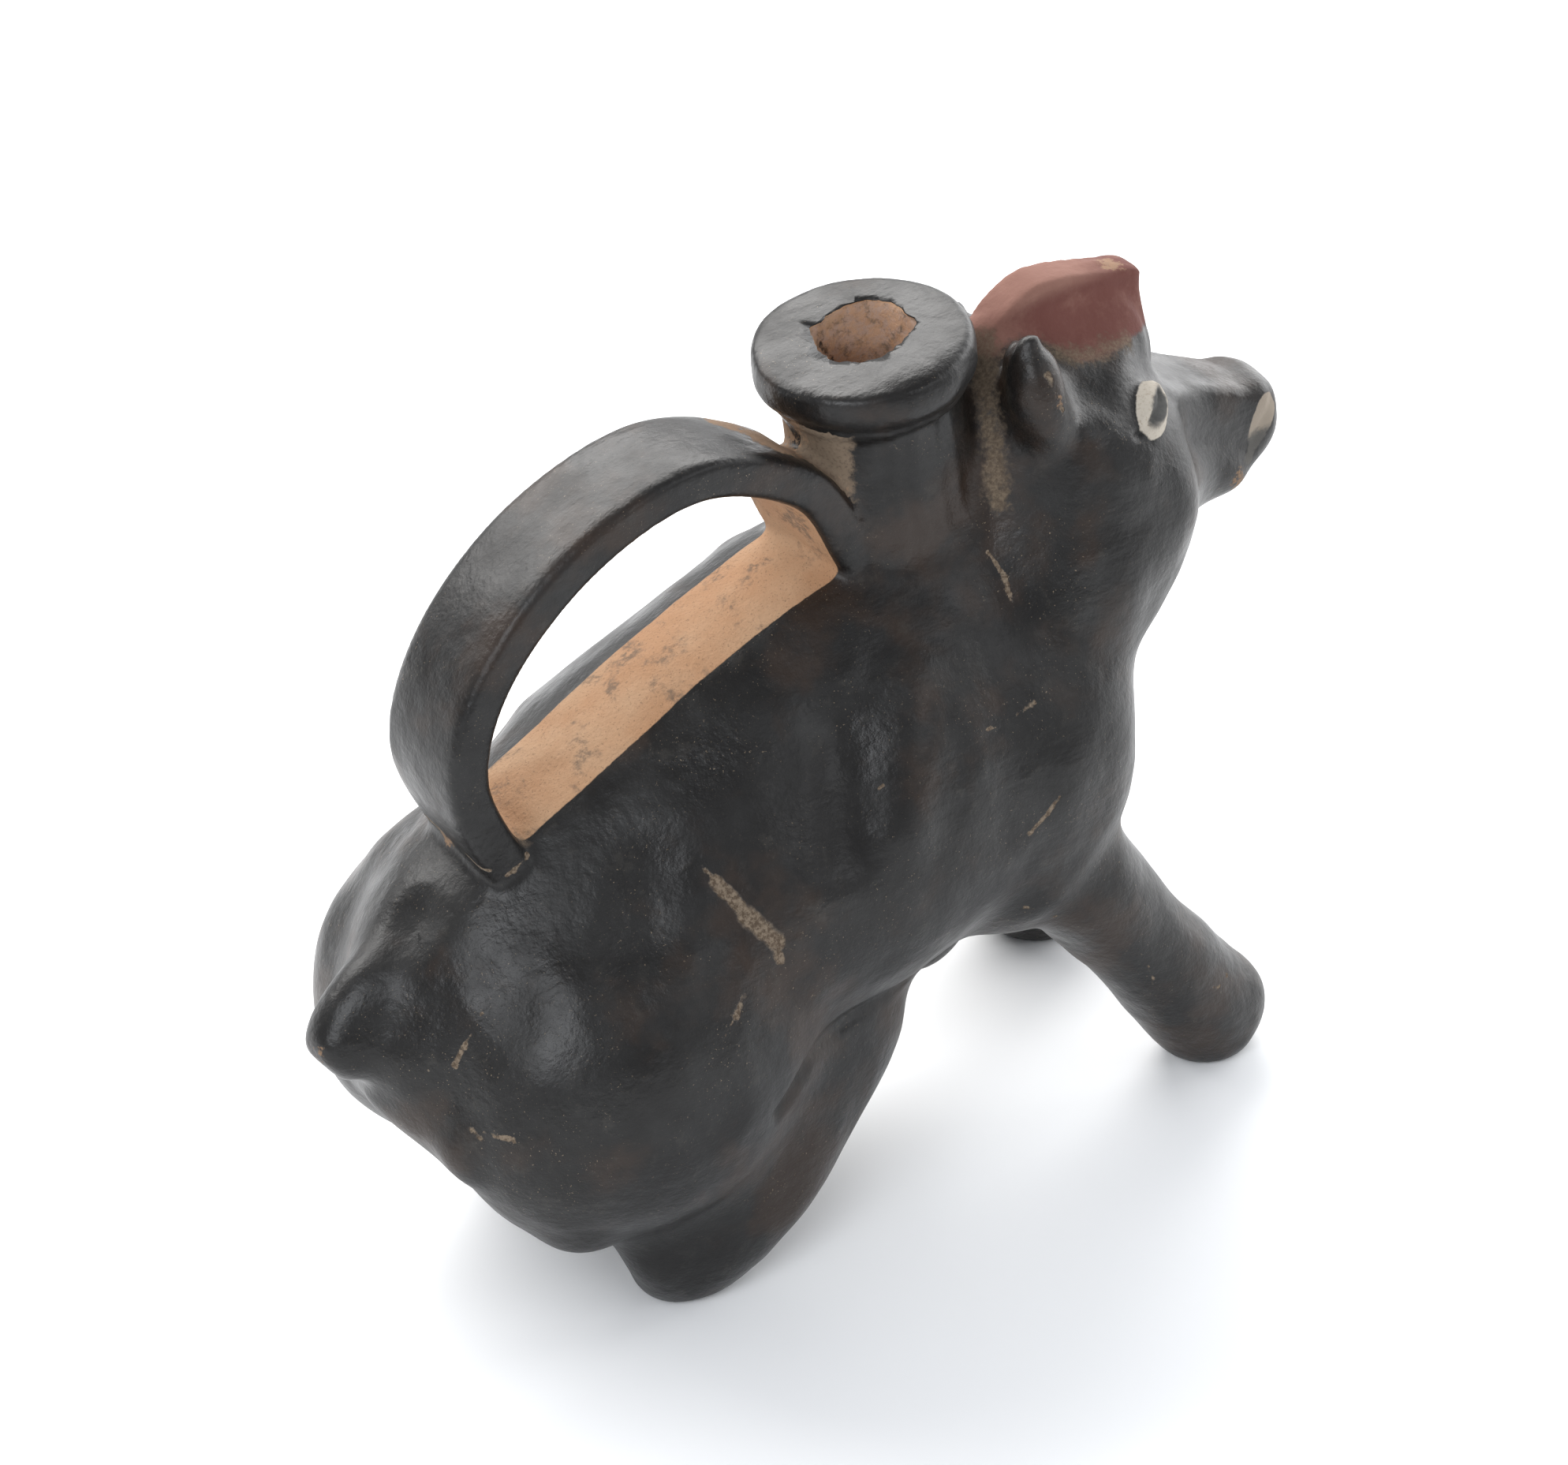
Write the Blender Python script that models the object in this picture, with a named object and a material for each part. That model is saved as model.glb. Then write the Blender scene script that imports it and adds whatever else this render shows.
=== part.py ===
"""Askos in the form of a standing animal: one fired-clay vessel, hollow, poured from its spout.

Metres, +Z up, the head towards +X, the feet on Z = 0. The figure's own proportions are
given in parts of its length, each of them a millimetre at the real size.
"""
import math

import bmesh
import bpy
from mathutils import Matrix, Vector

# Overall size of the figure
LENGTH = 0.230
PARTS_OF_LENGTH = 230
U = LENGTH / PARTS_OF_LENGTH

# Vessel
WALL = 0.0050
HEAD_WALL = 0.0080
SMOOTHED_AWAY = 0.0006

# Strap handle
STRAP_WIDTH = 0.0235
STRAP_FLARE = 0.0020
STRAP_THICKNESS = 0.0088
STRAP_EDGE = 0.0022
STRAP_TILT = math.radians(4)

# Spout: its stem, the flat ring on top and the bore
STEM_RADIUS = 0.0165
STEM_FLARE = 0.0030
RIM_RADIUS = 0.0212
RIM_DEPTH = 0.0090
RIM_ROLL = 0.0034
RIM_ROLL_STEPS = 6
BORE_RADIUS = 0.0092
BORE_SIDES = 24
BORE_TURN = math.radians(2)
BORE_OVERRUN = 0.006
SPOUT_LEAN = math.radians(-5)
STEM_TOP = 0.93

# Black slip over the clay
SLIP_COLOUR = (0.022, 0.021, 0.020, 1)
SLIP_ROUGHNESS = 0.34

# How finely the clay is modelled and smoothed
COARSE_VOXEL = 0.0024
FINE_VOXEL = 0.0016
COARSE_SMOOTHING = 9
FINE_SMOOTHING = 3
CAVITY_VOXEL = 0.0030
FACES_OUTSIDE = 7000
FACES_INSIDE = 1000
RING_SIDES = 32
STEPS_PER_STATION = 4
SMOOTH_UP_TO = math.radians(40)

# Barrel of the body: x, top z, bottom z, half width
BODY = (
    (-99, 76, 50, 12),
    (-92, 88, 41, 24),
    (-76, 101, 36, 34),
    (-45, 117, 37, 41),
    (-12, 130, 39, 43),
    (18, 136, 45, 42),
    (42, 136, 55, 36),
    (56, 122, 63, 25),
    (63, 106, 75, 12),
)
BODY_EGG = 0.20

# Rounded masses over the legs: centre and half axes
HAUNCH = (-55, 22, 54)
HAUNCH_HALF = (42, 27, 37)
HAUNCH_PITCH = math.radians(-10)
SHOULDER = (34, 26, 82)
SHOULDER_HALF = (24, 17, 34)
SHOULDER_PITCH = math.radians(18)

# Neck rising into the head: x, z, half depth fore and aft, half width
NECK = (
    (34, 84, 25, 32),
    (43, 104, 30, 34),
    (53, 118, 32, 34),
    (59, 131, 30, 31),
    (60, 144, 26, 28),
    (57, 155, 19, 21),
    (55, 160, 9, 10),
)
NECK_LEAN = math.radians(12)

# Snout, nearly level: x, z, half height, half width
SNOUT = (
    (66, 132, 20, 21),
    (80, 126, 20, 18),
    (92, 123, 16.5, 14),
    (103, 121.5, 13, 11),
    (110.5, 121.5, 9, 8.5),
    (114.5, 121.5, 5, 5),
)

# Hind leg, seen as level slices: z, x, y, half length, half width
HIND_LEG = (
    (62, -32, 24, 36, 14),
    (44, -34, 25, 38, 15),
    (30, -35.5, 26, 33.5, 14),
    (17, -41.3, 27, 25.7, 13),
    (8, -45.5, 27, 17.5, 11.5),
    (2, -48, 26.5, 13, 9.5),
    (-2, -48.5, 26, 9, 6.5),
)

# Front leg, sliced across its slope: x, z, y, half length, half width
FRONT_LEG = (
    (32, 76, 22, 16, 16),
    (43, 58, 26, 13, 14),
    (55.5, 39, 28, 12, 12.5),
    (68, 20, 29, 12.5, 12.5),
    (76, 9.5, 28.5, 12.5, 12),
    (79.5, 3, 28, 10, 10.5),
    (81, -1, 28, 7, 8),
)
FRONT_LEG_SLOPE = math.radians(146)
LEFT_FOOT_STEP = (-2, -3)

# Crest along the top of the head: x, z, half height, half width
CREST = (
    (34, 150, 10, 8),
    (42, 154, 13, 11),
    (56, 157, 15, 12.5),
    (68, 157, 15, 12),
    (76, 155.5, 14, 10),
    (80, 153.5, 12, 7),
)
CREST_EGG = 0.45

# Ears, the left one pressed lower: centres and half axes
EARS = ((45, -18, 158), (48, 18, 151))
EAR_HALF = (6, 7, 12)
EAR_PITCH = math.radians(-10)
EAR_YAW = math.radians(30)

# Stub of a tail and the sheath under the belly: centres and half axes
TAIL = (-103, 0, 72.5)
TAIL_HALF = (6.5, 8.5, 15)
TAIL_PITCH = math.radians(36)
SHEATH = (28, 0, 37)
SHEATH_HALF = (13, 6, 14)
SHEATH_PITCH = math.radians(-10)

# Handle route, from inside the spout's foot back to the rump: x, z
STRAP_ROUTE = (
    (12, 122),
    (5, 137),
    (-5, 153.5),
    (-28, 163.5),
    (-54, 157),
    (-74, 140),
    (-81, 119),
    (-72, 96),
)

# Axis of the spout, from inside the body up to the middle of the mouth
SPOUT_FOOT = (24, 0, 118)
SPOUT_TOP = (17, 0, 173.5)


def clear_scene():
    for thing in list(bpy.data.objects):
        bpy.data.objects.remove(thing)


def between(rows, steps):
    """The rows with smoothly blended ones set between them."""
    padded = (rows[0],) + tuple(rows) + (rows[-1],)
    blended = []
    for index in range(1, len(padded) - 2):
        before, start, end, after = padded[index - 1:index + 3]
        for step in range(steps):
            t = step / steps
            blended.append(tuple(
                0.5 * (2 * b + (c - a) * t + (2 * a - 5 * b + 4 * c - d) * t ** 2
                       + (3 * b - a - 3 * c + d) * t ** 3)
                for a, b, c, d in zip(before, start, end, after)))
    blended.append(tuple(rows[-1]))
    return blended


def skin(bm, rings, egg=0.0):
    """One closed form over rings, each a centre and its two half axes.

    An egg above nought narrows each ring towards its second axis and widens its other end.
    """
    loops = []
    for centre, half_a, half_b in rings:
        verts = bmesh.ops.create_circle(bm, segments=RING_SIDES, radius=1.0)["verts"]
        for vert in verts:
            a, b = vert.co.x, vert.co.y
            vert.co = centre + half_a * a * (1 - egg * b) + half_b * b
        loops.append({edge for vert in verts for edge in vert.link_edges})
    for start, end in zip(loops, loops[1:]):
        bmesh.ops.bridge_loops(bm, edges=list(start | end))
    bmesh.ops.holes_fill(bm, edges=list(loops[0] | loops[-1]), sides=0)


def ball(bm, centre, half, pitch=0.0, yaw=0.0):
    """An ellipsoid: its centre and half axes in parts, turned by pitch and then yaw."""
    turn = Matrix.Rotation(yaw, 4, "Z") @ Matrix.Rotation(pitch, 4, "Y")
    frame = Matrix.Translation(Vector(centre) * U) @ turn @ Matrix.Diagonal((*(Vector(half) * U), 1))
    bmesh.ops.create_uvsphere(bm, u_segments=RING_SIDES, v_segments=RING_SIDES // 2,
                              radius=1.0, matrix=frame)


def mirrored(spot, side):
    """A place given for the left of the body, on the side that is asked for."""
    x, y, z = spot
    return (x, side * y, z)


def make_object(bm, name):
    bmesh.ops.recalc_face_normals(bm, faces=bm.faces)
    mesh = bpy.data.meshes.new(name)
    bm.to_mesh(mesh)
    bm.free()
    thing = bpy.data.objects.new(name, mesh)
    bpy.context.collection.objects.link(thing)
    return thing


def settle(thing):
    """Make the result of the modifiers the object's own mesh."""
    evaluated = thing.evaluated_get(bpy.context.evaluated_depsgraph_get())
    mesh = bpy.data.meshes.new_from_object(evaluated)
    thing.modifiers.clear()
    thing.data = mesh


def fuse(thing, voxel, smoothing):
    """Run touching forms together into one skin and smooth it as wet clay is wiped."""
    remesh = thing.modifiers.new("Fuse", "REMESH")
    remesh.mode = "VOXEL"
    remesh.voxel_size = voxel
    wipe = thing.modifiers.new("Wipe", "SMOOTH")
    wipe.factor = 0.5
    wipe.iterations = smoothing
    settle(thing)


def thin(thing, faces):
    """Collapse the mesh to about so many triangles."""
    reduce = thing.modifiers.new("Thin", "DECIMATE")
    bm = bmesh.new()
    bm.from_mesh(thing.data)
    bmesh.ops.triangulate(bm, faces=bm.faces)
    count = len(bm.faces)
    bm.to_mesh(thing.data)
    bm.free()
    reduce.ratio = min(1.0, faces / count)
    settle(thing)


def combine(thing, other, operation):
    """Boolean of another object into this one, and the other removed."""
    boolean = thing.modifiers.new(operation.title(), "BOOLEAN")
    boolean.solver = "EXACT"
    boolean.operation = operation
    boolean.object = other
    settle(thing)
    bpy.data.objects.remove(other)


def body_rings(inset=0.0):
    """Upright slices of the barrel, each drawn in by the inset."""
    rows = between(BODY, STEPS_PER_STATION)
    middle = (rows[0][0] + rows[-1][0]) / 2
    shorten = 1 - 2 * inset / ((rows[-1][0] - rows[0][0]) * U)
    rings = []
    for x, top, bottom, half_width in rows:
        height = (top - bottom) / 2 * U - inset
        width = half_width * U - inset
        centre = Vector((middle + (x - middle) * shorten, 0, (top + bottom) / 2)) * U
        if min(height, width) > 0:
            rings.append((centre, Vector((0, width, 0)), Vector((0, 0, height))))
    return rings


def neck_rings(inset=0.0):
    lean = Matrix.Rotation(NECK_LEAN, 3, "Y")
    rings = []
    for x, z, depth, half_width in between(NECK, STEPS_PER_STATION):
        depth = depth * U - inset
        width = half_width * U - inset
        if min(depth, width) > 0:
            rings.append((Vector((x, 0, z)) * U, lean @ Vector((depth, 0, 0)), Vector((0, width, 0))))
    return rings


def big_forms():
    """Barrel, haunches, shoulders, legs, neck, snout, tail and stem, still overlapping."""
    bm = bmesh.new()
    skin(bm, body_rings(), BODY_EGG)
    skin(bm, neck_rings())
    skin(bm, [(Vector((x, 0, z)) * U, Vector((0, width, 0)) * U, Vector((0, 0, height)) * U)
              for x, z, height, width in between(SNOUT, STEPS_PER_STATION)])
    for side in (-1, 1):
        ball(bm, mirrored(HAUNCH, side), HAUNCH_HALF, pitch=HAUNCH_PITCH)
        ball(bm, mirrored(SHOULDER, side), SHOULDER_HALF, pitch=SHOULDER_PITCH)
        skin(bm, [(Vector((x, side * y, z)) * U, Vector((length, 0, 0)) * U, Vector((0, width, 0)) * U)
                  for z, x, y, length, width in between(HIND_LEG, STEPS_PER_STATION)])
        slope = Matrix.Rotation(FRONT_LEG_SLOPE, 3, "Y")
        step_x, step_y = LEFT_FOOT_STEP if side > 0 else (0, 0)
        rows = between(FRONT_LEG, STEPS_PER_STATION)
        leg = []
        for index, (x, z, y, length, width) in enumerate(rows):
            share = index / (len(rows) - 1)
            centre = Vector((x + step_x * share, side * (y + step_y * share), z)) * U
            leg.append((centre, slope @ Vector((length, 0, 0)) * U, Vector((0, width, 0)) * U))
        skin(bm, leg)
    ball(bm, TAIL, TAIL_HALF, pitch=TAIL_PITCH)
    stem_rings = []
    for step in range(STEPS_PER_STATION + 1):
        share = STEM_TOP * step / STEPS_PER_STATION
        radius = STEM_RADIUS + STEM_FLARE * (1 - share) ** 2
        centre = Vector(SPOUT_FOOT).lerp(Vector(SPOUT_TOP), share) * U
        stem_rings.append((centre, Vector((radius, 0, 0)), Vector((0, radius, 0))))
    skin(bm, stem_rings)
    return make_object(bm, "askos")


def small_forms():
    """Crest, ears and the sheath under the belly."""
    bm = bmesh.new()
    skin(bm, [(Vector((x, 0, z)) * U, Vector((0, width, 0)) * U, Vector((0, 0, height)) * U)
              for x, z, height, width in between(CREST, STEPS_PER_STATION)], CREST_EGG)
    for ear in EARS:
        ball(bm, ear, EAR_HALF, pitch=EAR_PITCH, yaw=math.copysign(EAR_YAW, ear[1]))
    ball(bm, SHEATH, SHEATH_HALF, pitch=SHEATH_PITCH)
    return make_object(bm, "detail")


def strap():
    """The handle: a rounded rectangle carried along its route."""
    bm = bmesh.new()
    route = [Vector((x, 0, z)) * U for x, z in between(STRAP_ROUTE, STEPS_PER_STATION)]
    half_thick = STRAP_THICKNESS / 2
    loops = []
    for index, centre in enumerate(route):
        ahead = route[min(index + 1, len(route) - 1)] - route[max(index - 1, 0)]
        along = ahead.normalized()
        across = Matrix.Rotation(STRAP_TILT, 3, along) @ Vector((0, 1, 0))
        outward = across.cross(along)
        share = index / (len(route) - 1)
        half_wide = STRAP_WIDTH / 2 + STRAP_FLARE * (2 * share - 1) ** 4
        frame = Matrix((across, outward, along)).transposed().to_4x4()
        frame.translation = centre
        sides = [(half_wide, half_thick - STRAP_EDGE), (half_wide - STRAP_EDGE, half_thick)]
        outline = []
        for flip_a, flip_b, order in ((1, 1, 1), (-1, 1, -1), (-1, -1, 1), (1, -1, -1)):
            outline += [frame @ Vector((flip_a * a, flip_b * b, 0)) for a, b in sides[::order]]
        verts = [bm.verts.new(point) for point in outline]
        loops.append([bm.edges.new((verts[i - 1], verts[i])) for i in range(len(verts))])
    for start, end in zip(loops, loops[1:]):
        bmesh.ops.bridge_loops(bm, edges=start + end)
    bmesh.ops.holes_fill(bm, edges=loops[0] + loops[-1], sides=0)
    return make_object(bm, "strap")


def on_spout(bm_verts):
    """Put forms made round +Z, with their top at nought, on the spout's top."""
    frame = Matrix.Translation(Vector(SPOUT_TOP) * U) @ Matrix.Rotation(SPOUT_LEAN, 4, "Y")
    for vert in bm_verts:
        vert.co = frame @ vert.co


def rim():
    """The thick flat ring round the mouth, turned from its half section."""
    bm = bmesh.new()
    corners = [(0, 0), (RIM_RADIUS - RIM_ROLL, 0)]
    for step in range(1, RIM_ROLL_STEPS):
        angle = math.pi * step / RIM_ROLL_STEPS
        corners.append((RIM_RADIUS - RIM_ROLL + RIM_ROLL * math.sin(angle),
                        -RIM_DEPTH / 2 * (1 - math.cos(angle))))
    corners += [(RIM_RADIUS - RIM_ROLL, -RIM_DEPTH), (0, -RIM_DEPTH)]
    verts = [bm.verts.new((radius, 0, height)) for radius, height in corners]
    edges = [bm.edges.new(pair) for pair in zip(verts, verts[1:])]
    bmesh.ops.spin(bm, geom=verts + edges, axis=(0, 0, 1), angle=2 * math.pi, steps=RING_SIDES,
                   use_merge=True)
    bmesh.ops.remove_doubles(bm, verts=bm.verts, dist=1e-6)
    on_spout(bm.verts)
    return make_object(bm, "rim")


def hollow():
    """The empty inside: the barrel and the neck drawn in by the wall, and the bore."""
    bm = bmesh.new()
    inset = WALL + SMOOTHED_AWAY
    skin(bm, body_rings(inset), BODY_EGG)
    skin(bm, neck_rings(HEAD_WALL))
    for side in (-1, 1):
        ball(bm, mirrored(HAUNCH, side), [half - inset / U for half in HAUNCH_HALF], pitch=HAUNCH_PITCH)
    inner = make_object(bm, "hollow")
    fuse(inner, CAVITY_VOXEL, COARSE_SMOOTHING)
    thin(inner, FACES_INSIDE)
    bm = bmesh.new()
    depth = (Vector(SPOUT_TOP) - Vector(SPOUT_FOOT)).length * U
    bmesh.ops.create_cone(bm, segments=BORE_SIDES, radius1=BORE_RADIUS, radius2=BORE_RADIUS,
                          depth=depth + 2 * BORE_OVERRUN, cap_ends=True,
                          matrix=Matrix.Rotation(BORE_TURN, 4, "Z"))
    bmesh.ops.translate(bm, verts=bm.verts, vec=(0, 0, -depth / 2))
    on_spout(bm.verts)
    bore = make_object(bm, "bore")
    combine(inner, bore, "UNION")
    return inner


def feet_cut():
    """Everything under the standing plane."""
    bm = bmesh.new()
    bmesh.ops.create_cube(bm, size=2 * LENGTH)
    bmesh.ops.translate(bm, verts=bm.verts, vec=(0, 0, -LENGTH))
    return make_object(bm, "ground")


def centre(thing):
    """Stand the figure with the middle of its outline over the origin."""
    corners = [Vector(corner) for corner in thing.bound_box]
    middle = sum(corners, Vector()) / len(corners)
    thing.data.transform(Matrix.Translation((-middle.x, -middle.y, 0)))


def black_slip():
    material = bpy.data.materials.new("black slip")
    material.use_nodes = True
    shader = material.node_tree.nodes["Principled BSDF"]
    shader.inputs["Base Color"].default_value = SLIP_COLOUR
    shader.inputs["Roughness"].default_value = SLIP_ROUGHNESS
    return material


def main():
    clear_scene()
    askos = big_forms()
    fuse(askos, COARSE_VOXEL, COARSE_SMOOTHING)
    detail = small_forms()
    bm = bmesh.new()
    bm.from_mesh(askos.data)
    bm.from_mesh(detail.data)
    bpy.data.objects.remove(detail)
    bpy.data.objects.remove(askos)
    askos = make_object(bm, "askos")
    fuse(askos, FINE_VOXEL, FINE_SMOOTHING)
    thin(askos, FACES_OUTSIDE)
    combine(askos, strap(), "UNION")
    combine(askos, rim(), "UNION")
    combine(askos, hollow(), "DIFFERENCE")
    combine(askos, feet_cut(), "DIFFERENCE")
    centre(askos)
    askos.data.shade_smooth()
    askos.data.set_sharp_from_angle(angle=SMOOTH_UP_TO)
    askos.data.materials.clear()
    askos.data.materials.append(black_slip())


main()
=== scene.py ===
"""Askos in the form of a standing bear-like animal: black-slipped terracotta on a pale floor.

Lengths are in metres where a mesh is made and in millimetres where the clay is worked by hand.
"""
import math

import bmesh
import bpy
import numpy as np
from mathutils import Matrix, Vector, noise


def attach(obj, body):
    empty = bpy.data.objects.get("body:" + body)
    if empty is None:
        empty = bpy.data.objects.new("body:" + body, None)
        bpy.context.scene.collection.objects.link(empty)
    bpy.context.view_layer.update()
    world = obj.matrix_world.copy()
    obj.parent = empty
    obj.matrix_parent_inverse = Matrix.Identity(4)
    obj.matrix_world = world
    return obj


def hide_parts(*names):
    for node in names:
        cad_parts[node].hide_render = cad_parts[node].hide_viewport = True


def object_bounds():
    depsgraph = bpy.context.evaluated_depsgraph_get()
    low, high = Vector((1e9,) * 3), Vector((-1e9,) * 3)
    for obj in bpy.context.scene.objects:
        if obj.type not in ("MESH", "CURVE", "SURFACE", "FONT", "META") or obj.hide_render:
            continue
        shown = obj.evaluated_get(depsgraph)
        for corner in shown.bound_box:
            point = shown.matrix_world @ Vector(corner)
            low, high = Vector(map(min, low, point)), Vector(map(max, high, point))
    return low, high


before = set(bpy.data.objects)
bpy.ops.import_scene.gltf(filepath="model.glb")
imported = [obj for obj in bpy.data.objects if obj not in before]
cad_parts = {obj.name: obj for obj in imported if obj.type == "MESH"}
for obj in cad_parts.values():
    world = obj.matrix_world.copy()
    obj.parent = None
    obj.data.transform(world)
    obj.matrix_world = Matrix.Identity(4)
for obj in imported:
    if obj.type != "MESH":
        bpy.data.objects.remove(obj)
cad_box = [list(corner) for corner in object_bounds()]


# The clay figure as it comes from the frame, its skin and its hollow taken apart.
# The real one is a hand-built hollow body with solid legs, joined while the clay was soft.
MM = 0.001
MOUTH = Vector((16.1, 0, 173.5)) * MM
SPOUT_AXIS = Vector((-0.0871557, 0, 0.9961947))
SPOUT_LEAN = math.radians(5)
BORE_RADIUS = 9.2 * MM
BORE_LENGTH = 60 * MM
SEAM = 0.01 * MM
BODY_GRAIN = 1.2 * MM
BODY_WIPES = 13


def bore_wall(whole):
    """The faces of the round wall between the mouth and the hollow."""
    found = []
    for face in whole.faces:
        spot = face.calc_center_median() - MOUTH
        along = spot.dot(SPOUT_AXIS)
        off_axis = (spot - along * SPOUT_AXIS).length
        in_bore = off_axis < BORE_RADIUS + 0.2 * MM and -BORE_LENGTH < along < -0.05 * MM
        if in_bore and abs(face.normal.dot(SPOUT_AXIS)) < 0.3:
            found.append(face)
    return found


def skins_of(whole):
    """The sets of points that hang together, the largest first."""
    skins = []
    left = set(whole.verts)
    while left:
        group = {left.pop()}
        reached = list(group)
        while reached:
            vert = reached.pop()
            for link in vert.link_edges:
                other = link.other_vert(vert)
                if other in left:
                    left.remove(other)
                    group.add(other)
                    reached.append(other)
        skins.append(group)
    return sorted(skins, key=len, reverse=True)


def taken_apart(node):
    """The outer skin closed over the mouth, and the inner skin open where the bore met it."""
    whole = bmesh.new()
    whole.from_mesh(node.data)
    bmesh.ops.remove_doubles(whole, verts=whole.verts, dist=SEAM)
    bmesh.ops.delete(whole, geom=bore_wall(whole), context="FACES")
    parts = []
    for group in skins_of(whole)[:2]:
        part = whole.copy()
        keep = {vert.index for vert in group}
        spare = [vert for vert in part.verts if vert.index not in keep]
        bmesh.ops.delete(part, geom=spare, context="VERTS")
        parts.append(part)
    whole.free()
    outer, inner = parts
    bmesh.ops.holes_fill(outer, edges=[e for e in outer.edges if e.is_boundary], sides=0)
    return outer, inner


def as_object(bm, name):
    mesh = bpy.data.meshes.new(name)
    bm.to_mesh(mesh)
    bm.free()
    thing = bpy.data.objects.new(name, mesh)
    bpy.context.collection.objects.link(thing)
    return thing


def settle(thing):
    """Make the result of the modifiers the object's own mesh."""
    evaluated = thing.evaluated_get(bpy.context.evaluated_depsgraph_get())
    mesh = bpy.data.meshes.new_from_object(evaluated)
    thing.modifiers.clear()
    thing.data = mesh


def work_together(thing, grain, wipes):
    """Run touching lumps of clay into one skin and wipe it smooth."""
    remesh = thing.modifiers.new("Join", "REMESH")
    remesh.mode = "VOXEL"
    remesh.voxel_size = grain
    wipe = thing.modifiers.new("Wipe", "SMOOTH")
    wipe.factor = 0.5
    wipe.iterations = wipes
    settle(thing)


bpy.context.view_layer.update()
skin, hollow = taken_apart(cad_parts["askos"])
figure = as_object(skin, "askos_clay")
work_together(figure, BODY_GRAIN, BODY_WIPES)


# The clay worked by hand: the same push of a thumb or tool on all the points it reaches.
# Places and depths are in millimetres; a push above nought goes in, below nought comes out.
def points_of(thing):
    count = len(thing.data.vertices)
    spots = np.empty(count * 3)
    thing.data.vertices.foreach_get("co", spots)
    ways = np.empty(count * 3)
    thing.data.vertices.foreach_get("normal", ways)
    return spots.reshape(-1, 3) * 1000, ways.reshape(-1, 3)


def put_back(thing, spots):
    thing.data.vertices.foreach_set("co", (spots * MM).ravel())
    thing.data.update()


def soft(share):
    """One at nought, easing to nought at one."""
    share = np.clip(1 - share, 0, 1)
    return share * share * (3 - 2 * share)


def near_to(spots, centre, reach):
    """One at a centre, easing to nought at its reach along each axis."""
    return soft(np.linalg.norm((spots - np.array(centre)) / np.array(reach), axis=1))


def gap_to(spots, path):
    """Distance from each point to a path of straight stretches."""
    path = np.array(path, float)
    best = np.full(len(spots), 1e9)
    for start, end in zip(path, path[1:]):
        along = end - start
        share = np.clip((spots - start) @ along / (along @ along), 0, 1)
        best = np.minimum(best, np.linalg.norm(spots - start - share[:, None] * along, axis=1))
    return best


def thumb(spots, ways, centre, reach, depth):
    return spots - ways * (depth * near_to(spots, centre, reach))[:, None]


def tool(spots, ways, path, reach, depth):
    return spots - ways * (depth * soft(gap_to(spots, path) / reach))[:, None]


def pressed(spots, ways, rows, side=1):
    """Each push of the rows in turn; side -1 makes them on the other side of the middle."""
    for push, place, reach, depth in rows:
        spots = push(spots, ways, np.array(place) * (1, side, 1), reach, depth)
    return spots


def uneven(spots, ways, rows):
    """Lift and sink the surface as fingers left it: each row is a width across and a height."""
    lift = np.zeros(len(spots))
    for width, height in rows:
        lift += height * np.array([noise.noise(Vector(spot) / width) for spot in spots])
    lift *= np.clip(spots[:, 2] / LEVEL_FEET, 0, 1)
    return spots + ways * lift[:, None]


# the unevenness fades in over this height, so that the feet stay level
LEVEL_FEET = 6
UNEVENNESS = ((34, 1.3), (15, 0.65), (6, 0.16))
BOTH_SIDES = (
    # the flank: a broad hollow before the haunch, a long one in it and the ridge beside that
    (thumb, (-48, 30, 92), (15, 16, 19), 1.2),
    (tool, ((-54, 27, 99), (-60, 32, 90), (-67, 38, 81)), 11, 1.1),
    (tool, ((-46, 28, 101), (-51, 34, 91), (-57, 40, 81)), 10, -0.7),
    # the shoulder's ridge with a hollow at each side, and the fold above the foreleg
    (tool, ((5, 29, 116), (-1, 36, 105), (-6, 41, 94)), 10, -1.9),
    (tool, ((26, 27, 121), (21, 37, 104), (15, 42, 86)), 10, 0.9),
    (tool, ((-12, 29, 114), (-16, 36, 104), (-19, 41, 94)), 9, 1.7),
    (tool, ((41, 28, 113), (37, 36, 100), (32, 41, 88)), 8, -0.8),
    (tool, ((42, 36, 76), (34, 39, 66), (24, 40, 57)), 6, -0.8),
    (tool, ((47, 32, 70), (38, 36, 58)), 5, 0.9),
    (thumb, (-78, 26, 82), (16, 14, 14), 0.9),
    # the valley behind the brow, the brow itself, and the hollow under it
    (thumb, (54.5, 19, 155.5), (9, 9, 9), 1.7),
    (thumb, (49.5, 21.5, 160), (6, 8, 9), 1.0),
    (thumb, (67.5, 13.5, 154), (8.5, 8, 7), -1.7),
    (thumb, (59.5, 20, 150.5), (6, 7, 6), 0.9),
    # the flat side, upper edge and flat top of the snout, and the cheek
    (tool, ((80, 17, 133.5), (92, 13.5, 128), (101, 11, 122)), 8, 1.9),
    (tool, ((79, 12.5, 142.5), (90, 7.5, 137.5), (105, 6.5, 129.5)), 4, -1.3),
    (thumb, (92, 1.5, 139), (13, 4.5, 6), 0.6),
    (thumb, (72, 27, 130), (11, 10, 12), -1.2),
)
# spare clay of the lump under the crest: its half width, foot, middle and length, and the share taken
LUMP_HALF, LUMP_FOOT, LUMP_RISE = 14, 158, 6
LUMP_MIDDLE, LUMP_REACH, LUMP_TAKEN = 60, 34, 0.42
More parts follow.
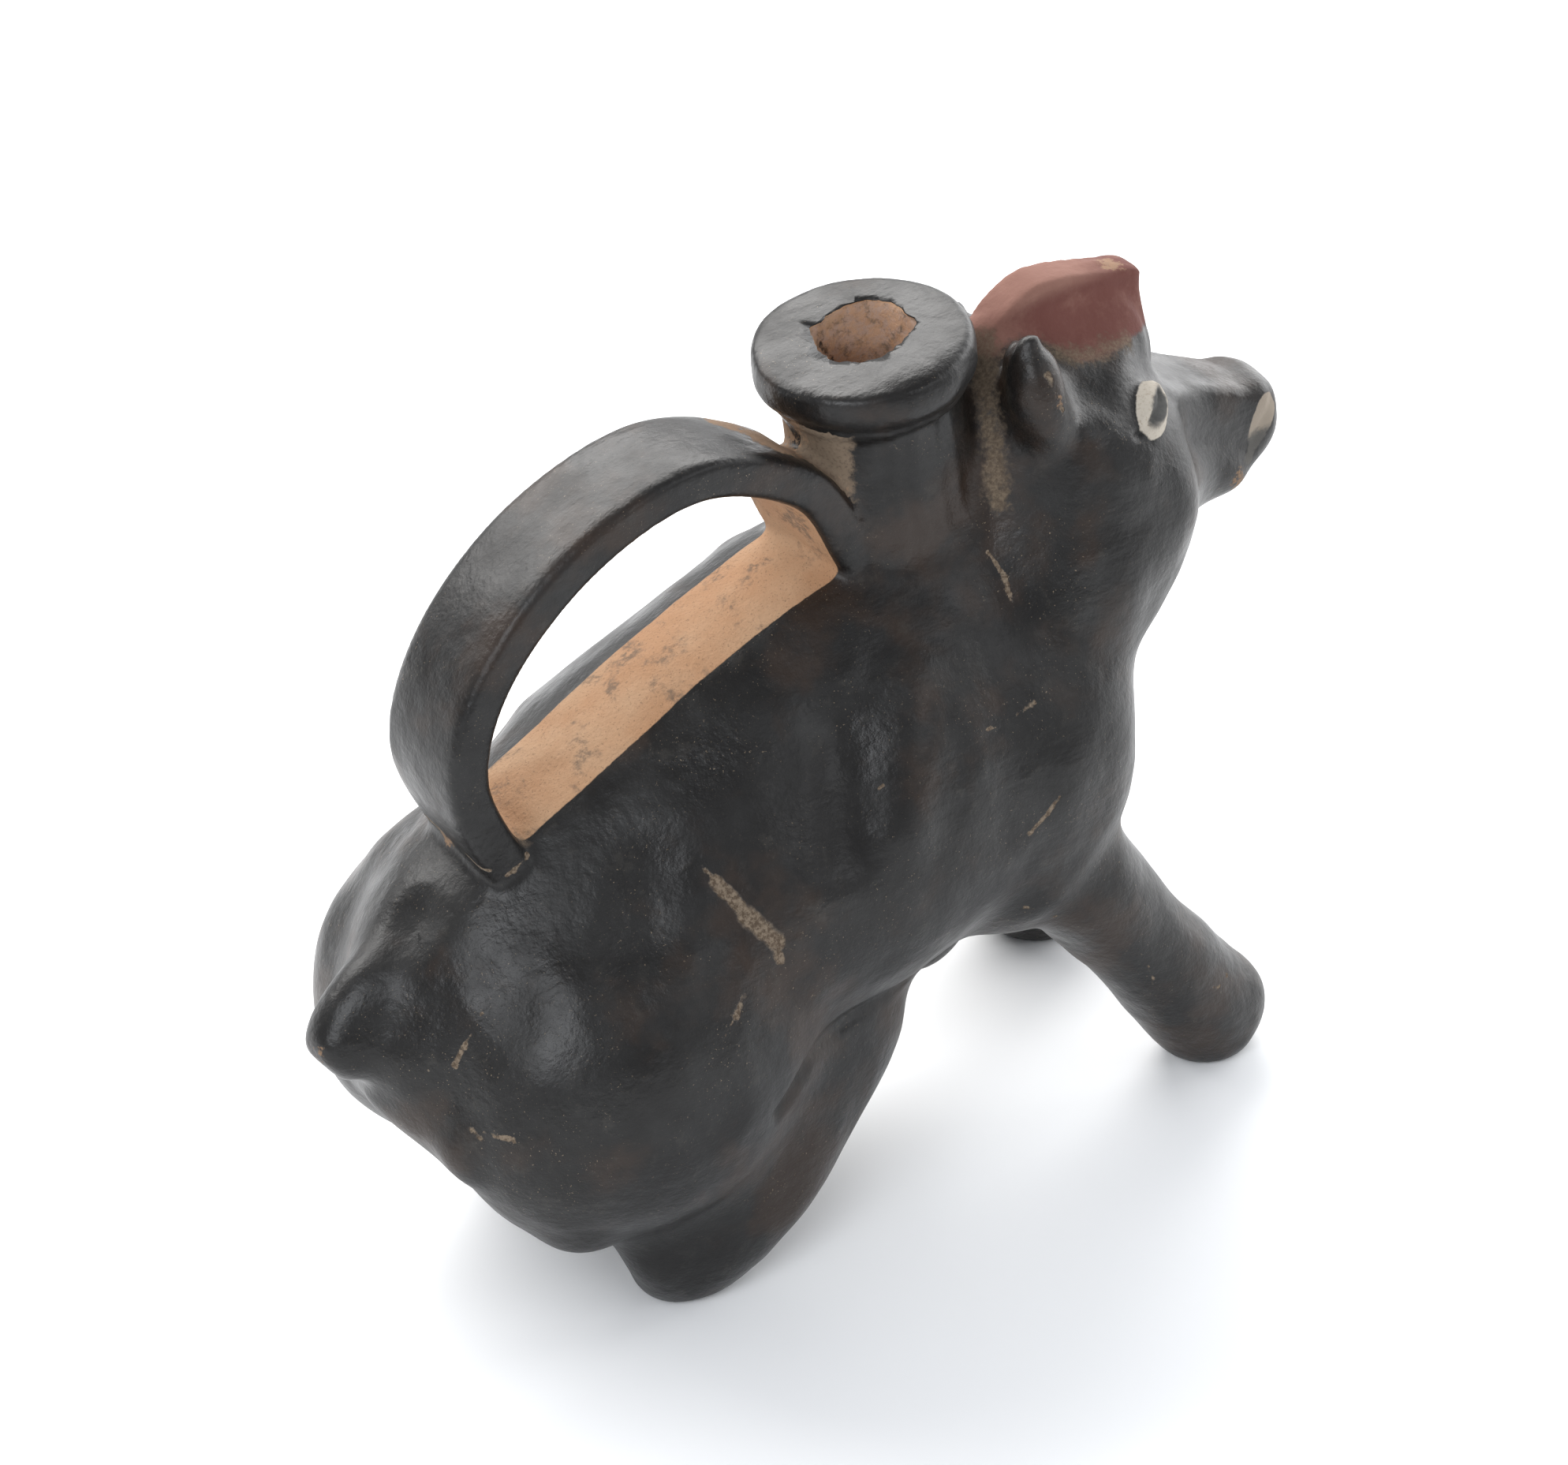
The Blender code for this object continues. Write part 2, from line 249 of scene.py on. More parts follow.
# clay moved straight along an axis: the lump's top and front, and the far ear pressed low
MOVED = (
    (2, (58, 0, 170), (26, 10, 9), 1.6),
    (0, (80, 0, 163), (8, 12, 11), 2.4),
    (2, (44.5, 18, 163), (9, 10, 11), 6.5),
)
FULL_AND_SLIM = (
    # the snout's end and chin, the front foot, the haunch's bottom, the hind foot
    (thumb, (107, 5, 123), (9, 10, 12), -1.5),
    (thumb, (108, 4, 129.5), (8, 8, 7), -1.6),
    (thumb, (98, 10, 115), (9, 8, 8), -1.8),
    (thumb, (84, 33, 12), (10, 12, 11), -1.5),
    (thumb, (-79, 33, 25), (13, 12, 10), -2.6),
    (thumb, (-64, 37, 9), (9, 11, 10), -1.8),
    # the throat taken in, the rump's top filled
    (thumb, (60, 31, 114), (10, 11, 12), 0.8),
    (thumb, (-78, 27, 84), (14, 12, 12), -1.8),
)
# clay filled in below and beside the tail, and its ridge pressed down
ROUND_TAIL = (
    (tool, ((-99, -3, 53), (-96, -14, 47), (-97, -22, 47)), 9, -2.6),
    (tool, ((-106, -2, 60), (-102, -12, 56), (-99, -22, 54)), 9, -2.2),
    (tool, ((-90, -2, 88), (-97, -3, 81), (-103, -4, 74)), 9, 2.6),
    (tool, ((-101, -12, 66), (-98, -19, 72), (-93, -22, 80)), 9, -1.3),
    (thumb, (-99.5, -14, 67), (11, 10, 13), -2.4),
)
# the straight fall of the rump below the tail: which way it faces, how far out it stands,
# where it runs, how wide, and how deep a dip it fills
FALL_WAY = np.array((-0.8221, -0.0021, -0.5693))
FALL_OUT = 55.3
FALL_PATH = ((-110, 0, 62), (-97, 0, 46), (-84, 0, 33))
FALL_REACH = 32
FALL_FILL = 14
TAIL_WIPED = (((-102, -11, 66), 17), ((-99, 12, 62), 16), ((-98, -8, 80), 15), ((-98, 9, 80), 15))
TAIL_WIPES = 90

spots, ways = points_of(figure)
spots = uneven(spots, ways, UNEVENNESS)
for side in (-1, 1):
    spots = pressed(spots, ways, BOTH_SIDES, side)
above = np.clip((spots[:, 2] - LUMP_FOOT) / LUMP_RISE, 0, 1)
above *= soft(np.abs(spots[:, 0] - LUMP_MIDDLE) / LUMP_REACH)
spots[:, 1] *= 1 - np.where(np.abs(spots[:, 1]) < LUMP_HALF, LUMP_TAKEN * above, 0)
for axis, centre, reach, far in MOVED:
    spots[:, axis] -= far * near_to(spots, centre, reach)
for side in (-1, 1):
    spots = pressed(spots, ways, FULL_AND_SLIM, side)
spots = pressed(spots, ways, ROUND_TAIL)
proud = spots @ FALL_WAY - FALL_OUT
filled = proud * np.clip(1 + proud / FALL_FILL, 0, 1)
share = soft(gap_to(spots, FALL_PATH) / FALL_REACH)
spots -= FALL_WAY * (np.where(proud > 0, proud, filled) * share)[:, None]
put_back(figure, spots)


def wiped_round(thing, places, wipes):
    """Wipe the clay smooth round some places: each a centre and a reach."""
    spots, _ = points_of(thing)
    away = [np.linalg.norm(spots - np.array(centre), axis=1) / reach for centre, reach in places]
    share = soft(np.min(away, axis=0))
    group = thing.vertex_groups.new(name="wiped")
    for index in np.nonzero(share > 0.01)[0]:
        group.add([int(index)], float(share[index]), "REPLACE")
    wipe = thing.modifiers.new("Wipe", "SMOOTH")
    wipe.factor = 0.5
    wipe.iterations = wipes
    wipe.vertex_group = "wiped"
    settle(thing)


wiped_round(figure, TAIL_WIPED, TAIL_WIPES)


# Strap handle: a flat strip of clay pressed on behind the spout and on the rump.
# Its faces are slightly crowned and its edges wiped round.
STRAP_ROUTE = ((11, 122), (4, 137), (-6, 153.5), (-29, 163.5),
               (-55, 157), (-75, 140), (-82, 119), (-73, 96))
STRAP_STEPS = 14
STRAP_HALF_WIDTH = 11.95
STRAP_FLARE = 2.0
STRAP_HALF_THICKNESS = 4.35
STRAP_TILT = math.radians(4)


def between(rows, steps):
    """The rows with smoothly blended ones set between them."""
    padded = (rows[0],) + tuple(rows) + (rows[-1],)
    blended = []
    for index in range(1, len(padded) - 2):
        before, start, end, after = padded[index - 1:index + 3]
        for step in range(steps):
            t = step / steps
            blended.append(tuple(
                0.5 * (2 * b + (c - a) * t + (2 * a - 5 * b + 4 * c - d) * t ** 2
                       + (3 * b - a - 3 * c + d) * t ** 3)
                for a, b, c, d in zip(before, start, end, after)))
    blended.append(tuple(rows[-1]))
    return blended


def skin_over(bm, rings, squareness=2.0, sides=40):
    """One closed lump over rings, each a centre and its two half axes, in metres."""
    loops = []
    for centre, half_a, half_b in rings:
        verts = bmesh.ops.create_circle(bm, segments=sides, radius=1.0)["verts"]
        for vert in verts:
            a, b = vert.co.x, vert.co.y
            grow = (abs(a) ** squareness + abs(b) ** squareness) ** (-1 / squareness)
            vert.co = centre + half_a * a * grow + half_b * b * grow
        loops.append({edge for vert in verts for edge in vert.link_edges})
    for start, end in zip(loops, loops[1:]):
        bmesh.ops.bridge_loops(bm, edges=list(start | end))
    bmesh.ops.holes_fill(bm, edges=list(loops[0] | loops[-1]), sides=0)


def lay_strap(bm):
    route = [Vector((x, 0, z)) * MM for x, z in between(STRAP_ROUTE, STRAP_STEPS)]
    rings = []
    for index, centre in enumerate(route):
        along = (route[min(index + 1, len(route) - 1)] - route[max(index - 1, 0)]).normalized()
        across = Matrix.Rotation(STRAP_TILT, 3, along) @ Vector((0, 1, 0))
        share = index / (len(route) - 1)
        half_wide = STRAP_HALF_WIDTH + STRAP_FLARE * (2 * share - 1) ** 4
        swell = 1 + 0.03 * math.sin(9 * share + 1) + 0.02 * math.sin(23 * share)
        rings.append((centre, across * half_wide * MM,
                      across.cross(along) * STRAP_HALF_THICKNESS * swell * MM))
    skin_over(bm, rings, squareness=8, sides=64)


# Spout: a thrown stem and a heavy flat ring, its under edge doubled by a second thin lip.
# The half section is radius and height under the top, in millimetres.
RIM_SECTION = ((0, 0), (8, 0), (14, 0.1), (18.9, 0.1), (20.2, -0.1), (21.0, -0.9), (21.3, -3.0),
               (21.2, -5.0), (20.5, -6.4), (19.6, -7.3), (18.8, -7.8), (18.6, -8.4), (19.3, -9.0),
               (19.5, -9.9), (18.8, -10.9), (17.3, -11.4), (16.4, -13), (16.3, -20), (16.5, -30),
               (17.2, -40), (18.4, -48), (19.4, -53), (12, -54), (0, -54))
LIP_TOP = -7.2
LIP_FOOT = -11.3
RING_FOOT = -9
STEM_TOP = -11.4


def throw_spout(bm):
    verts = [bm.verts.new((radius * MM, 0, height * MM)) for radius, height in RIM_SECTION]
    edges = [bm.edges.new(pair) for pair in zip(verts, verts[1:])]
    bmesh.ops.spin(bm, geom=verts + edges, axis=(0, 0, 1), angle=2 * math.pi, steps=96, use_merge=True)
    bmesh.ops.remove_doubles(bm, verts=bm.verts, dist=0.001 * MM)
    for vert in bm.verts:
        turn = math.atan2(vert.co.y, vert.co.x)
        height = vert.co.z / MM
        if LIP_FOOT < height < LIP_TOP:
            lip = 0.5 + 0.5 * math.cos(turn + 0.7)
            vert.co.xy *= 1 - 0.05 * (1 - lip)
        if height > RING_FOOT:
            vert.co.xy *= 1 - 0.006 + 0.006 * math.sin(3 * turn + 2) + 0.004 * math.sin(7 * turn)
        if height < STEM_TOP:
            vert.co.xy *= 1 + 0.014 * math.sin(5 * turn) + 0.010 * math.sin(9 * turn + 1)
    lean = Matrix.Translation(MOUTH) @ Matrix.Rotation(-SPOUT_LEAN, 4, "Y")
    bmesh.ops.transform(bm, matrix=lean, verts=bm.verts)


# Crest, ears and eyes: the crest a flat-topped comb with hollowed sides, painted red;
# the near ear pinched up to a blunt tip, the far one pressed lower; the eyes raised almonds.
# A crest station is its place, half width, top and how much of the drops' spread it takes.
CREST_STATIONS = ((37, 2.6, 161.5, 1), (42, 3.4, 164.6, 1), (46, 4.1, 168.0, 1), (50, 4.4, 170.4, 1),
                  (55, 4.5, 172.0, 1), (61, 4.5, 171.4, 1), (68, 4.3, 169.7, 0.8), (73, 4.1, 168.3, 0.6),
                  (77.2, 3.9, 167.4, 0.5), (79.4, 3.6, 166.3, 0.42), (80.0, 2.8, 165.2, 0.36))
CREST_DROPS = ((0, -1.2), (0.35, -0.2), (1.2, 0), (3.2, -0.5), (5.5, -0.2),
               (8, 1.2), (11, 3.6), (14, 6.8), (18, 8))
EAR_LUMPS = (((41.2, 17.8, 161.0), (3.3, 1.9, 0), (-1.7, 2.8, 0), (0.8, 0, 8.6)),
             ((41.0, 16.0, 154.0), (3.0, 2.0, 0), (-1.4, 2.2, 0), (1.2, 0, 6.0)))
EAR_RIDGE = ((42.2, 18.2, 167.6), (43.0, 19.2, 163.0), (44.0, 20.3, 158.0),
             (45.6, 21.0, 154.0), (48.0, 21.4, 151.0))
EAR_SET = {-1: Vector((0.6, 1.2, 2.0)), 1: Vector((9, -0.5, -10))}
EAR_FOOT = ((42, -20.5, 150.5), 8.5)
EAR_FOOT_WIPES = 14
EYE = Vector((67.8, 21.0, 147.7))
EYE_OUT = Vector((0.30, 0.76, 0.58)).normalized()
EYE_LENGTH_WAY = Vector((0.667, -0.601, 0.440))
EYE_HALF = (6.4, 4.0, 2.7)
JOINED_GRAIN = 0.9 * MM
JOINED_WIPES = 3


def on_side(values, side):
    x, y, z = values
    return Vector((x, side * y, z))


def lump(bm, centre, axes):
    """A rounded lump whose three half axes are given as vectors, in millimetres."""
    frame_of_lump = Matrix([axis * MM for axis in axes]).transposed().to_4x4()
    frame_of_lump.translation = centre * MM
    bmesh.ops.create_uvsphere(bm, u_segments=32, v_segments=20, radius=1.0, matrix=frame_of_lump)


def lay_crest(bm):
    loops = []
    for x, half_top, top, spread in between(CREST_STATIONS, 4):
        near_side = [(half_top + (extra * spread if extra > 0 else extra), top - drop)
                     for drop, extra in CREST_DROPS]
        outline = near_side + [(-half, height) for half, height in reversed(near_side)]
        verts = [bm.verts.new(Vector((x, half, height)) * MM) for half, height in outline]
        loops.append([bm.edges.new((verts[i - 1], verts[i])) for i in range(len(verts))])
    for start, end in zip(loops, loops[1:]):
        bmesh.ops.bridge_loops(bm, edges=start + end)
    bmesh.ops.holes_fill(bm, edges=loops[0] + loops[-1], sides=0)


def press_on_face(bm):
    for side in (-1, 1):
        ear = EAR_SET[side]
        for centre, *axes in EAR_LUMPS:
            lump(bm, on_side(centre, side) + ear, [on_side(axis, side) for axis in axes])
        ridge = [tuple(on_side(row, side) + ear) for row in EAR_RIDGE]
        for index, spot in enumerate(between(ridge, 5)):
            half = 2.1 - 0.5 * index / 20
            lump(bm, Vector(spot), (Vector((half, 0, 0)), Vector((0, half * 0.8, 0)), Vector((0, 0, half))))
        out = on_side(EYE_OUT, side)
        length_way = on_side(EYE_LENGTH_WAY, side)
        length_way = (length_way - length_way.dot(out) * out).normalized()
        axes = (length_way * EYE_HALF[0], out.cross(length_way) * EYE_HALF[1], out * EYE_HALF[2])
        lump(bm, on_side(EYE, side), axes)


pieces = bmesh.new()
lay_strap(pieces)
spout = bmesh.new()
throw_spout(spout)
spare = bpy.data.meshes.new("spout")
spout.to_mesh(spare)
spout.free()
pieces.from_mesh(spare)
lay_crest(pieces)
press_on_face(pieces)
pieces.from_mesh(figure.data)
bmesh.ops.recalc_face_normals(pieces, faces=pieces.faces)
bpy.data.objects.remove(figure)
askos = as_object(pieces, "askos_vessel")
work_together(askos, JOINED_GRAIN, JOINED_WIPES)
wiped_round(askos, (EAR_FOOT,), EAR_FOOT_WIPES)


# Bore and hollow: the mouth was broken ragged, and chips of the slip went with its edge.
# The outline is a turn round the spout in degrees and a radius; the tube below is round.
MOUTH_OUTLINE = ((-180, 8.5), (-166, 9.0), (-142, 8.3), (-112, 8.2), (-91, 7.8), (-54, 8.0), (-33, 9.4),
                 (-15, 10.4), (-1, 10.3), (20, 11.3), (38, 12.3), (56, 11.3), (77, 10.4), (103, 9.4),
                 (122, 10.3), (134, 8.9), (153, 8.3), (180, 8.5))
BORE_HEIGHTS = (-40, -32, -24, -18, -13, -10, -8, -6.6, -5.2, -4,
                -3, -2.2, -1.5, -0.9, -0.4, 0.0, 0.4, 3.0)
TUBE_RADIUS = 8.7
BROKEN_DEPTH = 7
CHIPPED_FROM = -1.2
VESSEL_TRIANGLES = 186000


def ragged_bore(hollow):
    """Join a ragged tube to the inner skin and close it above the mouth."""
    turns, radii = zip(*MOUTH_OUTLINE)
    leftward = Vector((0, 1, 0))
    forward = leftward.cross(SPOUT_AXIS)
    last = [edge for edge in hollow.edges if edge.is_boundary]
    for height in BORE_HEIGHTS:
        ring = bmesh.ops.create_circle(hollow, segments=96, radius=1.0)["verts"]
        for vert in ring:
            turn = math.atan2(vert.co.y, vert.co.x)
            around = Vector((math.cos(turn), math.sin(turn), 0))
            broken = min(1.0, max(0.0, 1 + height / BROKEN_DEPTH))
            rough = noise.noise(around * 2.6 + Vector((0, 0, height * 0.25)))
            fine = noise.noise(around * 8 + Vector((0, 0, height * 0.9)))
            radius = TUBE_RADIUS + broken * (np.interp(math.degrees(turn), turns, radii) - TUBE_RADIUS)
            radius += min(1.0, broken * 3) * (0.6 * rough + 0.22 * fine)
            if height > CHIPPED_FROM:
                radius += 0.25 * (height - CHIPPED_FROM) * (1 + fine)
            outward = forward * math.cos(turn) + leftward * math.sin(turn)
            vert.co = MOUTH + SPOUT_AXIS * height * MM + outward * radius * MM
        edges = list({edge for vert in ring for edge in vert.link_edges})
        bmesh.ops.bridge_loops(hollow, edges=last + edges)
        last = edges
    bmesh.ops.holes_fill(hollow, edges=last, sides=0)
    bmesh.ops.recalc_face_normals(hollow, faces=hollow.faces)


ragged_bore(hollow)
emptiness = as_object(hollow, "emptiness")


# Marks of the tool on the joined vessel: the eyes' slits, the sunken mouth's rim, the crease
# where the hind leg meets the flank, and the drag of the tool down the stem.
MOUTH_RIM = ((108, 6.6, 127.5), (105.4, 8.9, 124), (102, 10.4, 119.5))
CREASE = ((-4, 34, 55), (-16.7, 37.8, 54), (-29.4, 42.4, 52.7), (-40, 45.5, 46.5))
STEM_RADIUS = 16.4
STEM_DRAGS = ((-118, 0.4), (-96, -0.3), (-72, 0.4), (-55, 0.3))  # turn in degrees, depth
# how far inside the solid's own box the skin stays
SKIN_IN_BOX = 0.02


def eye_frame(side):
    """Middle of an eye and its long, wide and outward ways."""
    out = np.array((EYE_OUT.x, side * EYE_OUT.y, EYE_OUT.z))
    way = np.array((EYE_LENGTH_WAY.x, side * EYE_LENGTH_WAY.y, EYE_LENGTH_WAY.z))
    way -= (way @ out) * out
    way /= np.linalg.norm(way)
    wide = np.cross(way, out) * -side
    return np.array((EYE.x, side * EYE.y, EYE.z)), way, wide, out


spots, ways = points_of(askos)
mouth_mm, spout_way = np.array(MOUTH / MM), np.array(SPOUT_AXIS)
for side in (-1, 1):
    middle, way, wide, out = eye_frame(side)
    outer = middle + out * 2.2
    # groove between the lids, and the notch where they meet below
    slit = (outer + way * 4.4 + wide * 0.6, outer + way * 0.8 + wide * 0.5, outer - way * 4.2 - wide * 0.7)
    spots = tool(spots, ways, slit, 1.8, 1.5)
    spots = tool(spots, ways, (outer - way * 5.2 - wide * 1.6, middle - way * 7.5 - wide * 2.6), 1.3, 0.9)
    spots = pressed(spots, ways, ((tool, MOUTH_RIM, 2.6, 0.8), (tool, CREASE, 3.6, 1.3)), side)
    for turn, depth in STEM_DRAGS:
        turn = math.radians(turn)
        around = STEM_RADIUS * np.array((math.cos(turn), side * -math.sin(turn), 0))
        top = mouth_mm - 13 * spout_way + around
        low = mouth_mm - 36 * spout_way + around * 1.05
        spots = tool(spots, ways, (top, low), 3.0, depth)
lowest, highest = np.array(cad_box) * 1000
put_back(askos, np.clip(spots, lowest + SKIN_IN_BOX, highest - SKIN_IN_BOX))


def thinned(thing, triangles):
    """Collapse the flattest faces, all still four-sided, until about so many triangles are left."""
    reduce = thing.modifiers.new("Thin", "DECIMATE")
    reduce.ratio = triangles / (2 * len(thing.data.polygons))
    settle(thing)


def scoop(thing, cutter):
    boolean = thing.modifiers.new("Hollow", "BOOLEAN")
    boolean.solver = "EXACT"
    boolean.operation = "DIFFERENCE"
    boolean.object = cutter
    settle(thing)
    bpy.data.objects.remove(cutter)


thinned(askos, VESSEL_TRIANGLES)
scoop(askos, emptiness)
askos.data.shade_smooth()


# Where the slip stops, the crest is painted and earth has stayed, as distances in millimetres.
# Above nought is inside the painted or bare part; the shader roughens each edge.
FAR_OUT = -5  # the mark of a point that is nowhere near
BAND_HALF, BAND_REAR, BAND_FRONT = 10.4, -77, 14
RIDGE_LINE = ((-80, -60, -40, -20, 0, 12), (100, 110, 118, 125.5, 131.5, 134))
CREST_LINE = ((34, 42, 46, 50, 54, 58, 62, 68, 74, 80),
              (163, 162, 163, 163.5, 161, 157.5, 157, 157, 156.5, 155))
CREST_WIDTHS = ((40, 52, 58), (9, 10.5, 13))
MOUTH_LINE = ((106.8, -8.4, 127.2), (104.5, -10.6, 123.5), (102.4, -11.6, 118.5))
EARTH_STREAK = ((41.5, -4, 165), (38.5, -7.5, 158.5), (37.2, -12, 151),
                (35.5, -15, 143.5), (34.6, -17, 139))
CREST_DUST = ((43, -7, 164), (49, -8.5, 164.5), (54, -10, 161), (58, -11.5, 158),
              (63, -11.5, 157.5), (70, -10.5, 156.5))
STRAP_DIRT = (((8.5, -9, 130), (6.5, 0, 132.5), (8.5, 9, 130)), ((-73, -9, 102.5), (-75, 3, 102)))
WORN = (((-5, 0, 159), 7), ((-12, 6, 161.5), 5), ((0, 6, 156), 5), ((74, -1, 168.5), 3),
        ((44, -23, 160), 1.2), ((-112, -1, 68), 2), ((97.4, -10.7, 115.8), 2.2),
        ((-79.5, 2.5, 100.5), 2.5), ((5, -17.5, 158), 1.5))


def mark(thing, name, values):
    layer = thing.data.attributes.new(name, "FLOAT", "POINT")
    layer.data.foreach_set("value", np.ascontiguousarray(values, dtype=np.float32))


def spout_measures(spots):
    """How far up the spout's axis each point is from the mouth, and how far off it."""
    off = spots - np.array(MOUTH) * 1000
    along = off @ spout_way
    return along, np.linalg.norm(off - along[:, None] * spout_way, axis=1)


def patches(spots, rows):
    """Signed distance into the nearest of some round patches: each a centre and a radius."""
    gaps = [radius - np.linalg.norm(spots - np.array(centre), axis=1) for centre, radius in rows]
    return np.max(gaps, axis=0)


spots, ways = points_of(askos)
x, y, z = spots.T
along_spout, off_spout = spout_measures(spots)
strap_line = np.array(between(STRAP_ROUTE, STRAP_STEPS))
strap_path = np.stack([strap_line[:, 0], np.zeros(len(strap_line)), strap_line[:, 1]], axis=1)
strap_gap = gap_to(spots * (1, 0, 1), strap_path)

# bare clay: the band on the back, the strap's under side at its front root, and the bore
ridge_height = np.interp(x, *RIDGE_LINE)
wavy_edge = BAND_HALF - np.abs(y + 0.2 * np.sin(x / 9))
band = np.minimum(wavy_edge, np.minimum(x - BAND_REAR, BAND_FRONT - x))
band = np.where((z > ridge_height - 8) & (z < ridge_height + 4) & (x < BAND_FRONT), band, FAR_OUT)
at_root = (strap_gap < 6.5) & (x > -12) & (x < 12) & (z < 152) & (z > 118) & (ways[:, 0] < -0.15)
under_strap = np.where(at_root, BAND_HALF - np.abs(y), FAR_OUT)
in_bore = (off_spout < 14) & (along_spout > -60)
broken = np.where(along_spout > -0.15, -1.0, 3.0)
inside = np.where(in_bore & (np.abs(ways @ spout_way) < 0.8), broken, FAR_OUT)
mark(askos, "bare", np.maximum(np.maximum(band, under_strap), inside))
deep = np.maximum(-along_spout - 2 - 0.55 * (y + 6), -1.5)
mark(askos, "deep", np.where(in_bore & (inside > 0), deep, FAR_OUT))
stem_turn = np.degrees(np.arctan2(y, x - 18))
stem = np.minimum(26 - np.abs(stem_turn + 164), (z - 140) * 3)
stem = np.where((along_spout < -9) & (off_spout < 22) & (strap_gap > 4.9), stem, -30)
mark(askos, "stem", stem / 4)

# paint: the crest's red and the whites of the eyes, with the grey almond in each, and the mouth
crest = np.minimum(z - np.interp(x, *CREST_LINE), x - 37)
crest = np.minimum(crest, np.interp(x, *CREST_WIDTHS) - np.abs(y))
crest = np.where((x > 36) & (off_spout > 19), crest, FAR_OUT)
mark(askos, "crest", np.clip(crest, -6, 6))
eye_white = np.full(len(spots), float(FAR_OUT))
eye_grey = np.full(len(spots), float(FAR_OUT))
for side in (-1, 1):
    middle, way, wide, out = eye_frame(side)
    off = spots - middle
    near = np.linalg.norm(off, axis=1) < 11
    share = np.sqrt((off @ way / 6.6) ** 2 + (off @ wide / 4.3) ** 2)
    eye_white = np.where(near, np.maximum(eye_white, (1 - share) * 4.3), eye_white)
    off = off - way * 0.7 - wide * 0.45
    share = np.sqrt((off @ way / 4.9) ** 2 + (off @ wide / 2.3) ** 2)
    eye_grey = np.where(near, np.maximum(eye_grey, (1 - share) * 2.4), eye_grey)
mark(askos, "eye", eye_white)
mark(askos, "eye_grey", eye_grey)
mark(askos, "mouth", 3.2 - gap_to(spots, MOUTH_LINE))

# earth left between spout and head, under the crest and at the strap's roots, and worn places
earth = np.maximum(3.0 - gap_to(spots, EARTH_STREAK), 2.4 - gap_to(spots, CREST_DUST))
for path in STRAP_DIRT:
    earth = np.maximum(earth, 2.6 - gap_to(spots, path))
mark(askos, "earth", earth)
mark(askos, "worn", patches(spots, WORN))


# Black slip over terracotta: thin, burnished, brown where it fired unevenly, scratched to the clay.
# Everything is read from the place on the vessel, in millimetres. Colours are named for what
# they lie on, and each is mixed over the ones before it by a share from nought to one.
SLIP = (0.0068, 0.0062, 0.0060, 1)
SLIP_GREY = (0.0135, 0.0132, 0.0130, 1)
SLIP_BROWN = (0.030, 0.018, 0.012, 1)
SLIP_DUST = (0.060, 0.054, 0.046, 1)
CLAY = (0.36, 0.200, 0.107, 1)
CLAY_PALE = (0.40, 0.250, 0.148, 1)
CLAY_DEEP = (0.32, 0.140, 0.060, 1)
TORN_CLAY = (0.33, 0.225, 0.170, 1)
STEM_CLAY = (0.155, 0.108, 0.076, 1)
CREST_RED = (0.125, 0.044, 0.035, 1)
CREST_PALE = (0.28, 0.150, 0.115, 1)
WHITE = (0.44, 0.40, 0.34, 1)
MOUTH_PALE = (0.30, 0.255, 0.205, 1)
MOUTH_GREY = (0.105, 0.100, 0.092, 1)
EYE_GREY = (0.045, 0.048, 0.050, 1)
EARTH = (0.075, 0.052, 0.034, 1)
DUST = (0.21, 0.162, 0.112, 1)
SCAR = (0.165, 0.130, 0.098, 1)
CRACK_DARK = (0.012, 0.009, 0.007, 1)
SLIP_IOR = 1.4
CLAY_ROUGHNESS = 0.85
EDGE_SHAKE = 1.6
RELIEF = 0.5 * MM

slip = bpy.data.materials.new("black_slip_over_terracotta")
slip.use_nodes = True
tree = slip.node_tree
shader = tree.nodes["Principled BSDF"]


def node(kind, settings=None, **sockets):
    """Make a node: its own settings, and its sockets by name or, as _0, by number."""
    made = tree.nodes.new(kind)
    for name, value in (settings or {}).items():
        setattr(made, name, value)
    for name, value in sockets.items():
        socket = made.inputs[int(name[1:])] if name[1:].isdigit() else made.inputs[name.replace("_", " ")]
        if isinstance(value, bpy.types.NodeSocket):
            tree.links.new(value, socket)
        else:
            socket.default_value = value
    return made


def sums(operation, first, second=0.0, third=0.0):
    """One sum of values or sockets, by the name of its operation."""
    return node("ShaderNodeMath", {"operation": operation}, _0=first, _1=second, _2=third).outputs[0]


def mix(share, under, over):
    """One colour laid over another by a share."""
    made = tree.nodes.new("ShaderNodeMix")
    made.data_type = "RGBA"
    for index, value in ((0, share), (6, under), (7, over)):
        if isinstance(value, bpy.types.NodeSocket):
            tree.links.new(value, made.inputs[index])
        else:
            made.inputs[index].default_value = value
    return made.outputs[2]


def ramp(value, low, high, out_low=0.0, out_high=1.0):
    """A value eased from one range into another, and held at its ends."""
    return node("ShaderNodeMapRange", {"interpolation_type": "SMOOTHSTEP"}, _0=value, _1=low, _2=high,
                _3=out_low, _4=out_high).outputs[0]


def clouds(size, detail=3.0, roughness=0.55, where=None):
    """Uneven patches about so many millimetres across, from nought to one."""
    return node("ShaderNodeTexNoise", Vector=where or place, Scale=1.0 / size, Detail=detail,
                Roughness=roughness).outputs[0]


def marked(name):
    """The distance that was marked on the mesh under this name."""
    return node("ShaderNodeAttribute", {"attribute_name": name}).outputs[2]


place = node("ShaderNodeVectorMath", {"operation": "SCALE"}, _0=node("ShaderNodeTexCoord").outputs[3],
             _3=1000.0).outputs[0]
